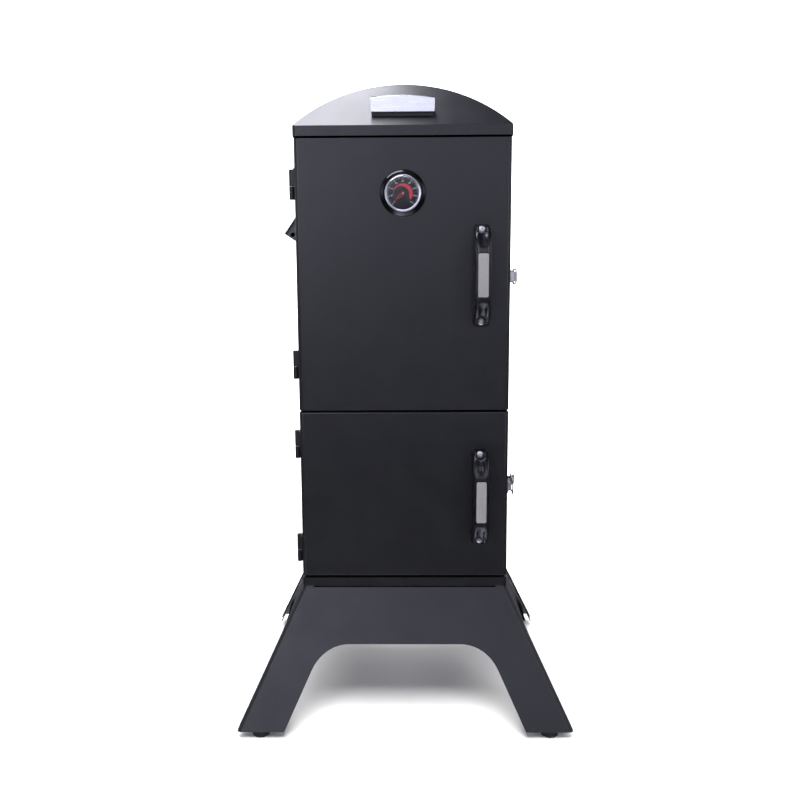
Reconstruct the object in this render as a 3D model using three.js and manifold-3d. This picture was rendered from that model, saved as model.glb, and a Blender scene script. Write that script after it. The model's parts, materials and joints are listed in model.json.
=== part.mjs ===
// Two-door cabinet smoker on a flared four-leg base.
// Millimetres. +X to the right seen from the front, +Y to the back, +Z up.
// The origin is on the ground under the middle of the base.
import * as THREE from 'three';
import { mergeVertices } from 'three/addons/utils/BufferGeometryUtils.js';
import { ConvexGeometry } from 'three/addons/geometries/ConvexGeometry.js';
import Module from 'manifold-3d';

const wasm = await Module();
wasm.setup();

// ---- driving dimensions ----
const GAP = 0.3; // clearance between touching pieces
const SHEET = 2.5; // cabinet sheet thickness
const DOOR_SHEET = 1.8;

const HALF_WIDTH = 210; // cabinet half width
const FRONT = -193; // front face of the doors
const BACK = 193; // rear face of the cabinet
const DOOR_BACK = -168; // rear edge of the door pans
const BODY_FRONT = -164; // front edge of the cabinet shell
const FLANGE = 16; // return flange of the walls

const BASE_BOTTOM = 22;
const BASE_TOP = 285;
const BASE_HALF_X = 335; // half width of the base at its bottom
const BASE_HALF_Y = 291; // half depth of the base at its bottom
const BASE_BEND = 9; // outer radius of the base corners
const BASE_FLANGE = 22; // width of the corner return flanges
const ARCH_TOP = 179;
const ARCH_RADIUS = 83;
const ARCH_FOOT_X = 240; // inner edge of the legs at the bottom, front view
const ARCH_FOOT_Y = 240; // inner edge of the legs at the bottom, side view

const SILL_TOP = 305;
const SPLIT = 651.5; // middle of the gap between the doors
const LOWER_DOOR = [310, 649.5];
const UPPER_DOOR = [653.5, 1181];
const WALL_TOP = 1181;
const HOOD_BOTTOM = 1184;
const HOOD_SPRING = 1203; // top of the vertical rim band
const HOOD_APEX = 1303;
const HOOD_SLOPE = 1.05; // setback of the sloping plate for each unit of rise
const HOOD_OVERHANG = 2;

const HINGE = { x: -218, y: -165, knuckle: 5.5, pin: 2.5, bore: 2.65 };
const HINGE_HEIGHTS = { upper: [743.5, 1097.5], lower: [361.5, 580.3] };
const HANDLE_X = 152;
const HANDLE_HEIGHTS = { upper: 918.2, lower: 477 };
const LATCH_HEIGHTS = { upper: 918, lower: 493 };
const GAUGE_Z = 1075.5;
const NEEDLE_ANGLE = 220; // direction of the needle, degrees from +X towards +Z

const FOOT = { x: 290, y: 266, radius: 17, top: 22 };
const FOOT_BOTTOM = 5.5; // the finished group is set down by this much
const RACK_HEIGHTS = [715, 805, 895, 985];
const WATER_PAN_Z = 600;
const CHIP_TRAY_Z = 450;
const ELEMENT_Z = 360;
const RAIL_X = 193.7; // outer face of the rack rails
const RAIL_FRONT = -136;
const VENT = { hinge: 1063, length: 64, halfWidth: 52, open: 35, axisX: -214.5 };

// ---- helpers ----
const X = new THREE.Vector3(1, 0, 0);
const Y = new THREE.Vector3(0, 1, 0);
const Z = new THREE.Vector3(0, 0, 1);
const rad = THREE.MathUtils.degToRad;

function solid(geometry) {
  const plain = new THREE.BufferGeometry();
  plain.setAttribute('position', geometry.getAttribute('position').clone());
  if (geometry.index) plain.setIndex(geometry.index.clone());
  const merged = mergeVertices(plain, 1e-4);
  const position = merged.getAttribute('position').array;
  const source = merged.index.array;
  const triangles = [];
  let volume = 0;
  const a = new THREE.Vector3();
  const b = new THREE.Vector3();
  const c = new THREE.Vector3();
  for (let i = 0; i < source.length; i += 3) {
    const [p, q, r] = [source[i], source[i + 1], source[i + 2]];
    if (p === q || q === r || r === p) continue;
    triangles.push(p, q, r);
    a.fromArray(position, p * 3);
    b.fromArray(position, q * 3);
    c.fromArray(position, r * 3);
    volume += a.dot(b.cross(c));
  }
  if (volume < 0) triangles.reverse();
  return new wasm.Manifold(new wasm.Mesh({
    numProp: 3,
    vertProperties: Float32Array.from(position),
    triVerts: Uint32Array.from(triangles),
  }));
}

function union(...parts) {
  return parts.reduce((sum, part) => sum.add(part));
}

function cut(body, ...tools) {
  return tools.reduce((rest, tool) => rest.subtract(tool), body);
}

function block(x0, x1, y0, y1, z0, z1) {
  const box = new THREE.BoxGeometry(x1 - x0, y1 - y0, z1 - z0);
  box.translate((x0 + x1) / 2, (y0 + y1) / 2, (z0 + z1) / 2);
  return solid(box);
}

function rodX(radius, x0, x1, y, z, sides = 12) {
  const rod = new THREE.CylinderGeometry(radius, radius, x1 - x0, sides);
  rod.rotateZ(Math.PI / 2);
  rod.translate((x0 + x1) / 2, y, z);
  return solid(rod);
}

function rodY(radius, y0, y1, x, z, sides = 16) {
  const rod = new THREE.CylinderGeometry(radius, radius, y1 - y0, sides);
  rod.translate(x, (y0 + y1) / 2, z);
  return solid(rod);
}

function rodZ(radius, z0, z1, x, y, sides = 16) {
  const rod = new THREE.CylinderGeometry(radius, radius, z1 - z0, sides);
  rod.rotateX(Math.PI / 2);
  rod.translate(x, y, (z0 + z1) / 2);
  return solid(rod);
}

function extrude(shape, depth, segments) {
  const options = { depth, bevelEnabled: false, curveSegments: segments };
  return new THREE.ExtrudeGeometry(shape, options);
}

// shape drawn in (y, z), swept from x0 to x1
function sweepX(shape, x0, x1, segments = 6) {
  const body = extrude(shape, x1 - x0, segments);
  body.applyMatrix4(new THREE.Matrix4().makeBasis(Y, Z, X));
  body.translate(x0, 0, 0);
  return solid(body);
}

// shape drawn in (x, z), swept from y0 to y1
function sweepY(shape, y0, y1, segments = 6) {
  const body = extrude(shape, y1 - y0, segments);
  body.applyMatrix4(new THREE.Matrix4().makeBasis(X, Z, Y.clone().negate()));
  body.translate(0, y1, 0);
  return solid(body);
}

// shape drawn in (x, y), swept from z0 to z1
function sweepZ(shape, z0, z1, segments = 6) {
  const body = extrude(shape, z1 - z0, segments);
  body.translate(0, 0, z0);
  return solid(body);
}

function polygon(points) {
  return new THREE.Shape(points.map(([u, v]) => new THREE.Vector2(u, v)));
}

// rectangle with one corner radius for each corner: low-left, low-right, high-right, high-left
function roundedRect(u0, u1, v0, v1, radii) {
  const [a, b, c, d] = radii;
  const shape = new THREE.Shape();
  shape.moveTo(u0 + a, v0);
  shape.lineTo(u1 - b, v0);
  if (b > 0) shape.absarc(u1 - b, v0 + b, b, -Math.PI / 2, 0, false);
  shape.lineTo(u1, v1 - c);
  if (c > 0) shape.absarc(u1 - c, v1 - c, c, 0, Math.PI / 2, false);
  shape.lineTo(u0 + d, v1);
  if (d > 0) shape.absarc(u0 + d, v1 - d, d, Math.PI / 2, Math.PI, false);
  shape.lineTo(u0, v0 + a);
  if (a > 0) shape.absarc(u0 + a, v0 + a, a, Math.PI, Math.PI * 1.5, false);
  return shape;
}

// profile of (radius, height) points turned about the Y axis
function turned(points, x, z, sides = 28) {
  const profile = points.map(([r, h]) => new THREE.Vector2(r, h));
  const body = new THREE.LatheGeometry(profile, sides);
  body.translate(x, 0, z);
  return solid(body);
}

const group = new THREE.Group();

function add(name, body, color, metalness = 0.2, roughness = 0.6) {
  const mesh = body.getMesh();
  const geometry = new THREE.BufferGeometry();
  const positions = [];
  for (let i = 0; i < mesh.vertProperties.length; i += mesh.numProp) {
    positions.push(...mesh.vertProperties.slice(i, i + 3));
  }
  geometry.setAttribute('position', new THREE.Float32BufferAttribute(positions, 3));
  geometry.setIndex(Array.from(mesh.triVerts));
  geometry.computeVertexNormals();
  const material = new THREE.MeshStandardMaterial({ color, metalness, roughness });
  const piece = new THREE.Mesh(geometry, material);
  piece.name = name;
  group.add(piece);
}

const BLACK = 0x2b2c30;
const DARK = 0x17171a;
const STEEL = 0xb9bbbf;
const ZINC = 0x9a9ca0;
const RUBBER = 0x101012;

// ---- base ----
const TILT_X = Math.atan((BASE_HALF_X - HALF_WIDTH) / (BASE_TOP - BASE_BOTTOM));
const TILT_Y = Math.atan((BASE_HALF_Y - BACK) / (BASE_TOP - BASE_BOTTOM));

// half width and half depth of the base's outer planes at a height, set in by a normal distance
function baseHalfX(z, inset) {
  return HALF_WIDTH + Math.tan(TILT_X) * (BASE_TOP - z) - inset / Math.cos(TILT_X);
}

function baseHalfY(z, inset) {
  return BACK + Math.tan(TILT_Y) * (BASE_TOP - z) - inset / Math.cos(TILT_Y);
}

function baseFrustum(inset, z0, z1) {
  const radius = BASE_BEND - inset;
  const points = [];
  for (const z of [z0, z1]) {
    const cx = baseHalfX(z, inset) - radius;
    const cy = baseHalfY(z, inset) - radius;
    for (let i = 0; i < 4; i += 1) {
      const sx = i === 0 || i === 3 ? 1 : -1;
      const sy = i < 2 ? 1 : -1;
      for (let k = 0; k <= 4; k += 1) {
        const angle = (i + k / 4) * (Math.PI / 2);
        const x = sx * cx + radius * Math.cos(angle);
        const y = sy * cy + radius * Math.sin(angle);
        points.push(new THREE.Vector3(x, y, z));
      }
    }
  }
  return solid(new ConvexGeometry(points));
}

// opening between two legs; slope is the lean of the leg edges
function archShape(footHalf, slope) {
  const low = -20;
  const cornerU = footHalf - slope * (ARCH_TOP - BASE_BOTTOM);
  const lean = Math.atan(slope);
  const tangent = ARCH_RADIUS * Math.tan((Math.PI / 2 - lean) / 2);
  const centreU = cornerU - tangent;
  const centreV = ARCH_TOP - ARCH_RADIUS;
  const shape = new THREE.Shape();
  shape.moveTo(-(footHalf + slope * (BASE_BOTTOM - low)), low);
  shape.lineTo(footHalf + slope * (BASE_BOTTOM - low), low);
  shape.absarc(centreU, centreV, ARCH_RADIUS, lean, Math.PI / 2, false);
  shape.absarc(-centreU, centreV, ARCH_RADIUS, Math.PI / 2, Math.PI - lean, false);
  return shape;
}

function frontBand(side) {
  const near = (z) => side * (baseHalfY(z, 0) + 30);
  const far = (z) => side * baseHalfY(z, BASE_FLANGE);
  const corners = [[near(0), 0], [near(300), 300], [far(300), 300], [far(0), 0]];
  return sweepX(polygon(corners), -400, 400);
}

function footPlate(sx, sy) {
  const x0 = 254;
  const x1 = 318;
  const y0 = 243;
  const y1 = baseHalfY(BASE_BOTTOM, SHEET / 2);
  const plate = block(
    Math.min(sx * x0, sx * x1), Math.max(sx * x0, sx * x1),
    Math.min(sy * y0, sy * y1), Math.max(sy * y0, sy * y1),
    BASE_BOTTOM, BASE_BOTTOM + SHEET,
  );
  return cut(plate, rodZ(4.4, 10, 40, sx * FOOT.x, sy * FOOT.y, 12));
}

function endSkirt(side) {
  const top = BASE_TOP - GAP;
  const shell = cut(baseFrustum(0, BASE_BOTTOM, top), baseFrustum(SHEET, 12, 295));
  const arch = archShape(ARCH_FOOT_X, Math.tan(TILT_X));
  let body = shell.intersect(frontBand(side));
  body = cut(body, sweepY(arch, -400, 400, 10));
  const lip = (x0, x1) => {
    const outer = side * (BACK - 1);
    const inner = side * (BACK - 23);
    return block(x0, x1, Math.min(outer, inner), Math.max(outer, inner), top - SHEET, top);
  };
  body = union(body, lip(-188, 188), footPlate(-1, side), footPlate(1, side));
  return body;
}

function sideSkirt(side) {
  const top = BASE_TOP - GAP;
  const outer = SHEET + GAP;
  const near = (z) => side * baseHalfX(z, outer);
  const far = (z) => side * baseHalfX(z, outer + SHEET);
  const slab = sweepY(polygon([
    [near(0), 0], [near(300), 300], [far(300), 300], [far(0), 0],
  ]), -400, 400);
  const arch = archShape(ARCH_FOOT_Y, Math.tan(TILT_Y));
  let body = baseFrustum(outer, BASE_BOTTOM + 1, top).intersect(slab);
  body = cut(body, sweepX(arch, -400, 400, 10));
  const x0 = side * 182;
  const x1 = side * (HALF_WIDTH - 5);
  const lip = block(Math.min(x0, x1), Math.max(x0, x1), -165, 165, top - SHEET, top);
  return union(body, lip);
}

const TRAY_SLOT = block(-132, 132, 150, 240, 236, 290);
add('front_skirt', endSkirt(-1), BLACK);
add('rear_skirt', cut(endSkirt(1), TRAY_SLOT), BLACK);
add('left_skirt', sideSkirt(-1), BLACK);
add('right_skirt', sideSkirt(1), BLACK);

function foot(sx, sy) {
  const top = FOOT.top - GAP;
  const low = FOOT_BOTTOM;
  const profile = [
    [0, low], [FOOT.radius, low], [FOOT.radius, 9], [15, 11], [15, 16], [10, 18], [10, top],
    [4, top], [4, 38], [0, 38],
  ].map(([r, h]) => new THREE.Vector2(r, h));
  const body = new THREE.LatheGeometry(profile, 14);
  body.rotateX(Math.PI / 2);
  body.translate(sx * FOOT.x, sy * FOOT.y, 0);
  return solid(body);
}

add('foot_front_left', foot(-1, -1), RUBBER);
add('foot_front_right', foot(1, -1), RUBBER);
add('foot_rear_left', foot(-1, 1), RUBBER);
add('foot_rear_right', foot(1, 1), RUBBER);

// ---- cabinet shell ----
function floorPan() {
  const low = BASE_TOP;
  const outer = roundedRect(-HALF_WIDTH, HALF_WIDTH, FRONT + 1, BACK, [6, 6, 2, 2]);
  const inset = SHEET;
  const inner = roundedRect(
    -HALF_WIDTH + inset, HALF_WIDTH - inset, FRONT + 1 + inset, BACK - inset, [4, 4, 0, 0],
  );
  let body = sweepZ(outer, low, SILL_TOP, 3);
  body = cut(body, sweepZ(inner, low - 10, SILL_TOP - SHEET, 3));
  body = cut(
    body,
    rodZ(12, low, SILL_TOP + 5, 0, 0),
    block(-300, 300, FRONT - 5, FRONT + 1.2 + SHEET, low - 5, low + 2.3),
  );
  for (const side of [-1, 1]) {
    const web = [side * 124.5, side * 126.5].sort((a, b) => a - b);
    const ledge = [side * 112, side * 126.5].sort((a, b) => a - b);
    body = union(
      body,
      block(web[0], web[1], -60, 188, 240, SILL_TOP - 1),
      block(ledge[0], ledge[1], -60, 188, 240, 242),
    );
  }
  return body;
}

function sideWall(side) {
  const sheet = [side * HALF_WIDTH, side * (HALF_WIDTH - SHEET)].sort((a, b) => a - b);
  const flange = [side * HALF_WIDTH, side * (HALF_WIDTH - FLANGE)].sort((a, b) => a - b);
  const z0 = SILL_TOP + GAP;
  const z1 = WALL_TOP;
  const rear = BACK - SHEET - GAP;
  return union(
    block(sheet[0], sheet[1], BODY_FRONT, rear, z0, z1),
    block(flange[0], flange[1], BODY_FRONT, BODY_FRONT + SHEET, z0, z1),
    block(flange[0], flange[1], rear - SHEET, rear, z0, z1),
  );
}

function topHood() {
  const overX = HALF_WIDTH + HOOD_OVERHANG;
  const sagitta = HOOD_APEX - HOOD_SPRING;
  const radius = (overX * overX + sagitta * sagitta) / (2 * sagitta);
  const centre = HOOD_APEX - radius;
  const shell = (inset, bottom) => {
    const half = overX - inset;
    const r = radius - inset;
    const spring = Math.asin(Math.sqrt(r * r - half * half) / r);
    const vault = new THREE.Shape();
    vault.moveTo(-half, bottom);
    vault.lineTo(half, bottom);
    vault.absarc(0, centre, r, spring, Math.PI - spring, false);
    const lean = Math.atan(1 / HOOD_SLOPE);
    const face = FRONT - HOOD_OVERHANG;
    const shift = inset / Math.sin(lean);
    const rise = (inset - shift) / HOOD_SLOPE;
    const high = HOOD_APEX + 20;
    const side = polygon([
      [face + inset, bottom],
      [BACK - inset, bottom],
      [BACK - inset, high],
      [face + shift + HOOD_SLOPE * (high - HOOD_SPRING), high],
      [face + inset, HOOD_SPRING + rise],
    ]);
    const corner = 8 - inset;
    const rearCorner = Math.max(0.5, 3 - inset);
    const plan = roundedRect(
      -half, half, face + inset, BACK - inset, [corner, corner, rearCorner, rearCorner],
    );
    return sweepY(vault, -300, 300, 22)
      .intersect(sweepX(side, -300, 300))
      .intersect(sweepZ(plan, bottom, HOOD_APEX + 30, 3));
  };
  return cut(shell(0, HOOD_BOTTOM), shell(SHEET, HOOD_BOTTOM - 10));
}

// distance along Y of the hood's sloping plate at a height, stood off by a normal distance
function slopeY(z, off) {
  const lean = Math.atan(1 / HOOD_SLOPE);
  return FRONT - HOOD_OVERHANG + HOOD_SLOPE * (z - HOOD_SPRING) - off / Math.sin(lean);
}

function badgeBase() {
  const low = slopeY(1223, GAP);
  return sweepX(polygon([
    [low, 1223],
    [slopeY(1258, GAP), 1258],
    [-150, 1261],
    [low, 1260],
  ]), -60, 60);
}

function badgePlate() {
  const shape = new THREE.Shape();
  shape.moveTo(-60, 1230.5);
  shape.lineTo(60, 1230.5);
  shape.absarc(60, 1232.5, 2, -Math.PI / 2, 0, false);
  shape.lineTo(62, 1256.5);
  shape.quadraticCurveTo(0, 1266.5, -62, 1256.5);
  shape.lineTo(-62, 1232.5);
  shape.absarc(-60, 1232.5, 2, Math.PI, Math.PI * 1.5, false);
  return sweepY(shape, -178.4, -174.9, 8);
}

const VENT_HOLE = block(-230, -180, -46, 46, 993, 1056);
add('floor_pan', floorPan(), BLACK);
add('left_wall', cut(sideWall(-1), VENT_HOLE), BLACK);
add('right_wall', sideWall(1), BLACK);
add('back_wall', block(-HALF_WIDTH, HALF_WIDTH, BACK - SHEET, BACK, SILL_TOP + GAP, WALL_TOP), BLACK);
add('centre_rail', cut(
  block(-RAIL_X, RAIL_X, BODY_FRONT, BODY_FRONT + 24, SPLIT - 16, SPLIT + 16),
  block(-RAIL_X - 5, RAIL_X + 5, BODY_FRONT + 2, BODY_FRONT + 40, SPLIT - 14, SPLIT + 14),
), DARK);
add('ceiling_panel', block(
  -HALF_WIDTH + GAP, HALF_WIDTH - GAP, BODY_FRONT, BACK - GAP, WALL_TOP + GAP, HOOD_BOTTOM - GAP,
), DARK);
add('top_hood', topHood(), BLACK);
add('badge_base', badgeBase(), DARK);
add('badge_plate', badgePlate(), STEEL, 0.9, 0.3);

// ---- inside: rails, racks, pans, element ----
const LEDGES = [CHIP_TRAY_Z, WATER_PAN_Z, ...RACK_HEIGHTS];

function rackRail(side) {
  const span = (a, b) => [side * a, side * b].sort((p, q) => p - q);
  const plate = span(RAIL_X, RAIL_X - 1.6);
  const ledge = span(RAIL_X, RAIL_X - 13);
  const low = CHIP_TRAY_Z - 14;
  const high = RACK_HEIGHTS.at(-1) + 6;
  let body = union(
    block(plate[0], plate[1], RAIL_FRONT, RAIL_FRONT + 30, low, high),
    block(plate[0], plate[1], 158, 188, low, high),
  );
  for (const z of LEDGES) {
    body = union(
      body,
      block(plate[0], plate[1], RAIL_FRONT, 188, z - 10, z),
      block(ledge[0], ledge[1], RAIL_FRONT, 188, z - 2, z),
    );
  }
  return body;
}

add('left_rack_rail', rackRail(-1), ZINC, 0.8, 0.4);
add('right_rack_rail', rackRail(1), ZINC, 0.8, 0.4);

const RACK = { halfX: 188, front: -138, back: 170, wire: 3, rod: 1.6, count: 19 };

function rack(z) {
  const bar = RACK.wire * 2;
  const low = z + GAP;
  const mid = low + RACK.wire;
  const inner = RACK.halfX - bar;
  let body = cut(
    block(-RACK.halfX, RACK.halfX, RACK.front, RACK.back, low, low + bar),
    block(-inner, inner, RACK.front + bar, RACK.back - bar, low - 5, low + bar + 5),
  );
  const pitch = (2 * inner) / (RACK.count + 1);
  for (let i = 1; i <= RACK.count; i += 1) {
    const x = i * pitch - inner;
    body = union(body, rodY(RACK.rod, RACK.front + bar - 1, RACK.back - bar + 1, x, mid, 4));
  }
  return body;
}

RACK_HEIGHTS.forEach((z, i) => add(`rack_${i + 1}`, rack(z), STEEL, 1, 0.25));

// open pan hung by its rim on a pair of ledges
function hungPan(z, depth, front, back) {
  const rimZ = z + GAP;
  const halfX = 174;
  const wall = 1.5;
  const rim = sweepZ(
    roundedRect(-188, 188, front - 8, back + 8, [10, 10, 10, 10]), rimZ, rimZ + wall, 3,
  );
  const shape = roundedRect(-halfX, halfX, front, back, [16, 16, 16, 16]);
  const inner = roundedRect(
    -halfX + wall, halfX - wall, front + wall, back - wall, [14.5, 14.5, 14.5, 14.5],
  );
  const outerBody = sweepZ(shape, rimZ - depth, rimZ + wall, 3);
  return cut(union(rim, outerBody), sweepZ(inner, rimZ - depth + wall, rimZ + 10, 3));
}

add('water_pan', hungPan(WATER_PAN_Z, 60, -128, 160), 0x3a3b3d, 0.5, 0.4);
add('chip_tray', hungPan(CHIP_TRAY_Z, 34, -90, 120), 0x4a4a4a, 0.6, 0.5);

function heatingElement() {
  const z = ELEMENT_Z;
  const xs = [-105, -35, 35, 105];
  const frontY = -90;
  const backY = 110;
  const bend = 35;
  const corner = (cx, cy, from, to) => {
    const points = [];
    for (let k = 0; k <= 6; k += 1) {
      const angle = rad(from + ((to - from) * k) / 6);
      points.push(new THREE.Vector3(cx + bend * Math.cos(angle), cy + bend * Math.sin(angle), z));
    }
    return points;
  };
  const points = [
    new THREE.Vector3(xs[0], 180, z),
    ...corner(-70, frontY + bend, 180, 360),
    ...corner(0, backY - bend, 180, 0),
    ...corner(70, frontY + bend, 180, 360),
    new THREE.Vector3(xs[3], 180, z),
  ];
  const smooth = new THREE.CatmullRomCurve3(points, false, 'centripetal', 0.5);
  const section = polygon([0, 60, 120, 180, 240, 300].map((turn) => {
    return [4 * Math.cos(rad(turn)), 4 * Math.sin(rad(turn))];
  }));
  const tube = new THREE.ExtrudeGeometry(section, {
    steps: 44, bevelEnabled: false, extrudePath: smooth, curveSegments: 1,
  });
  return union(
    solid(tube),
    block(-125, 125, 176, 189.9, z - 14, z + 14),
  );
}

add('heating_element', heatingElement(), 0x6b6258, 0.8, 0.5);

// ---- grease tray under the floor ----
add('grease_tray', union(
  cut(block(-122, 122, -55, 188, 242.4, 276), block(-120.5, 120.5, -53.5, 186.5, 244, 290)),
  block(-122, 122, 186, 190, 242.4, 280),
  block(-30, 30, 189, 197, 262, 265),
), STEEL, 0.9, 0.4);

// ---- doors ----
function doorPan(z0, z1) {
  const shell = (inset, back) => {
    const bend = 8.5 - inset;
    const edge = Math.max(0.4, 2.5 - inset);
    const plan = roundedRect(
      -HALF_WIDTH + inset, HALF_WIDTH - inset, FRONT + inset, back, [bend, bend, 0, 0],
    );
    const side = roundedRect(FRONT + inset, back, z0 + inset, z1 - inset, [edge, 0, 0, edge]);
    return sweepZ(plan, z0 + inset, z1 - inset, 5).intersect(sweepX(side, -300, 300, 3));
  };
  return cut(shell(0, DOOR_BACK), shell(DOOR_SHEET, DOOR_BACK + 20));
}

function doorLiner(z0, z1) {
  const edge = DOOR_SHEET + GAP;
  return block(
    -HALF_WIDTH + edge, HALF_WIDTH - edge, DOOR_BACK - 2.5, DOOR_BACK - 1, z0 + edge, z1 - edge,
  );
}

function doorGasket(z0, z1) {
  const y0 = DOOR_BACK - 0.7;
  const y1 = BODY_FRONT - GAP;
  return cut(
    block(-207, 207, y0, y1, z0 + 3, z1 - 3),
    block(-196, 196, y0 - 5, y1 + 5, z0 + 14, z1 - 14),
  );
}

// half of the handle's side outline, as (distance along the door, distance from it)
const HANDLE_OUTER = [
  [98.5, 0], [98.5, 8], [95, 16], [88, 26], [79, 36], [68, 44], [54, 48.5], [36, 50.5],
];
const HANDLE_INNER = [[38, 26.5], [52, 24], [62, 17], [69, 8], [71, 0]];

function handle(centreZ) {
  const at = (d, s) => [FRONT - GAP - d, centreZ + s];
  const outline = [
    ...HANDLE_OUTER.map(([s, d]) => at(d, s)),
    ...HANDLE_OUTER.map(([s, d]) => at(d, -s)).reverse(),
    ...HANDLE_INNER.map(([s, d]) => at(d, -s)).reverse(),
    ...HANDLE_INNER.map(([s, d]) => at(d, s)),
  ];
  const front = FRONT - GAP - 52;
  const plan = roundedRect(
    HANDLE_X - 16.5, HANDLE_X + 16.5, front + 1.5, FRONT, [9, 9, 0, 0],
  );
  const face = roundedRect(
    HANDLE_X - 16.5, HANDLE_X + 16.5, centreZ - 98.5, centreZ + 98.5, [12, 12, 12, 12],
  );
  let body = sweepX(polygon(outline), HANDLE_X - 20, HANDLE_X + 20)
    .intersect(sweepZ(plan, centreZ - 110, centreZ + 110, 4))
    .intersect(sweepY(face, front - 5, FRONT + 5, 4));
  for (const end of [-1, 1]) {
    const z = centreZ + end * 87.5;
    const seat = FRONT - GAP - 9;
    const zs = [z, z + end * 20].sort((a, b) => a - b);
    body = cut(
      body,
      rodY(9, front - 10, seat, HANDLE_X, z, 20),
      block(HANDLE_X - 9, HANDLE_X + 9, front - 10, seat, zs[0], zs[1]),
    );
  }
  const recess = FRONT - GAP - 49.3;
  return cut(
    body,
    block(HANDLE_X - 10.1, HANDLE_X + 10.1, recess - 20, recess, centreZ - 41.3, centreZ + 41.3),
  );
}

// leaf on the door, the upper half of a lift-off hinge
function doorLeaf(z) {
  const z0 = z - 3.2;
  const z1 = z + 28.8;
  const outer = -HALF_WIDTH - GAP;
  return cut(
    union(
      rodZ(HINGE.knuckle, z0, z1, HINGE.x, HINGE.y),
      block(outer - 2.4, outer, FRONT + 9, HINGE.y - 2, z0, z1),
      block(HINGE.x, outer, HINGE.y - 5.3, HINGE.y - 2.9, z0, z1),
    ),
    rodZ(HINGE.bore, z0 - 1, z1 - 4, HINGE.x, HINGE.y),
  );
}

// leaf on the cabinet, the lower half, with the pin
function bodyLeaf(z) {
  const z0 = z - 28.8;
  const z1 = z - 4.2;
  const outer = -HALF_WIDTH - GAP;
  return union(
    rodZ(HINGE.knuckle, z0, z1, HINGE.x, HINGE.y),
    rodZ(HINGE.pin, z1 - 1, z + 22, HINGE.x, HINGE.y),
    block(outer - 2.4, outer, HINGE.y + 2.9, -138, z0, z1),
    block(HINGE.x, outer, HINGE.y + 2.9, HINGE.y + 5.3, z0, z1),
  );
}

function keeper(z) {
  const x0 = HALF_WIDTH + GAP;
  return union(
    block(x0, x0 + 1.8, -184, -170, z - 12, z + 12),
    block(x0, 219, -177.5, -175.5, z - 9, z + 9),
  );
}

function addDoor(name, [z0, z1], pierce) {
  const hole = (body) => (pierce ? cut(body, pierce) : body);
  add(`${name}_door_pan`, hole(doorPan(z0, z1)), BLACK);
  add(`${name}_door_liner`, hole(doorLiner(z0, z1)), ZINC, 0.7, 0.4);
  add(`${name}_door_gasket`, doorGasket(z0, z1), 0x3b3a36, 0, 1);
  add(`${name}_handle`, handle(HANDLE_HEIGHTS[name]), RUBBER, 0, 0.5);
  HINGE_HEIGHTS[name].forEach((z, i) => {
    add(`${name}_door_leaf_${i + 1}`, doorLeaf(z), DARK);
    add(`${name}_body_leaf_${i + 1}`, bodyLeaf(z), DARK);
  });
  add(`${name}_keeper`, keeper(LATCH_HEIGHTS[name]), STEEL, 0.9, 0.3);
}

addDoor('upper', UPPER_DOOR, rodY(5, -220, -140, 0, GAUGE_Z, 12));
addDoor('lower', LOWER_DOOR, null);

// ---- thermometer in the upper door ----
add('gauge_bezel', turned([
  [36.2, FRONT - GAP], [43.5, FRONT - GAP], [43.5, -197], [42, -199.4], [39, -200.2],
  [36.2, -200.2], [36.2, FRONT - GAP],
], 0, GAUGE_Z, 26), DARK);
add('gauge_case', union(
  turned([
    [0, -95], [3, -95], [4, -97], [4, -194], [35.6, -194], [35.6, -203], [34.4, -205],
    [31.4, -205], [30.2, -203.4], [30.2, -197], [0, -197],
  ], 0, GAUGE_Z, 26),
  rodY(1.2, -200.6, -196, 0, GAUGE_Z, 8),
), STEEL, 1, 0.15);
add('gauge_dial', turned([
  [1.6, -198], [29.8, -198], [29.8, -197.3], [1.6, -197.3], [1.6, -198],
], 0, GAUGE_Z, 26), RUBBER);

function gaugeNeedle() {
  const y0 = -199.3;
  const y1 = -198.4;
  const outline = [
    [-3, -1.6], [6, -2.8], [14, -0.9], [26, -0.35], [26, 0.35], [14, 0.9], [6, 2.8], [-3, 1.6],
  ];
  const blade = sweepY(polygon(outline), y0, y1);
  const turnedBlade = blade.rotate([0, -NEEDLE_ANGLE, 0]).translate([0, 0, GAUGE_Z]);
  return cut(
    union(turnedBlade, rodY(4, -200.2, y1, 0, GAUGE_Z, 14)),
    rodY(1.4, -210, -190, 0, GAUGE_Z, 8),
  );
}

add('gauge_needle', gaugeNeedle(), 0xc02020, 0, 0.5);

// ---- draw latches on the right wall ----
const LATCH = {
  pivot: [218, -137], bail: [221, -125], hook: [215, -180],
  rest: 12, follow: 0.35, wire: 1.5, armZ: 14,
};

function latchBase(z) {
  const x0 = HALF_WIDTH + GAP;
  const [px, py] = LATCH.pivot;
  const ear = (z0) => block(x0, px + 4, py - 5, py + 5, z0, z0 + 2);
  return union(
    block(x0, x0 + 2, py - 9, -92, z - 15, z + 15),
    ear(z + 10), ear(z - 12),
    rodZ(1.6, z - 11, z + 11, px, py, 10),
  );
}

function latchLever(z) {
  const [px, py] = LATCH.pivot;
  const [bx, by] = LATCH.bail;
  const arm = polygon([
    [px - 2, py - 3.4], [px + 3, py - 3.4], [bx + 3, by - 3], [bx + 3.4, by + 10],
    [bx + 6.5, by + 20], [bx + 5, by + 21.5], [bx + 1.2, by + 12], [bx - 3, by + 4], [px - 3.4, py + 3],
  ]);
  const body = cut(
    union(rodZ(3.8, z - 9.5, z + 9.5, px, py, 14), sweepZ(arm, z - 9.5, z + 9.5)),
    rodZ(1.85, z - 20, z + 20, px, py, 12),
    rodZ(1.85, z - 20, z + 20, bx, by, 12),
  );
  return body.translate([-px, -py, 0]).rotate([0, 0, -LATCH.rest]).translate([px, py, 0]);
}

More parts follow.
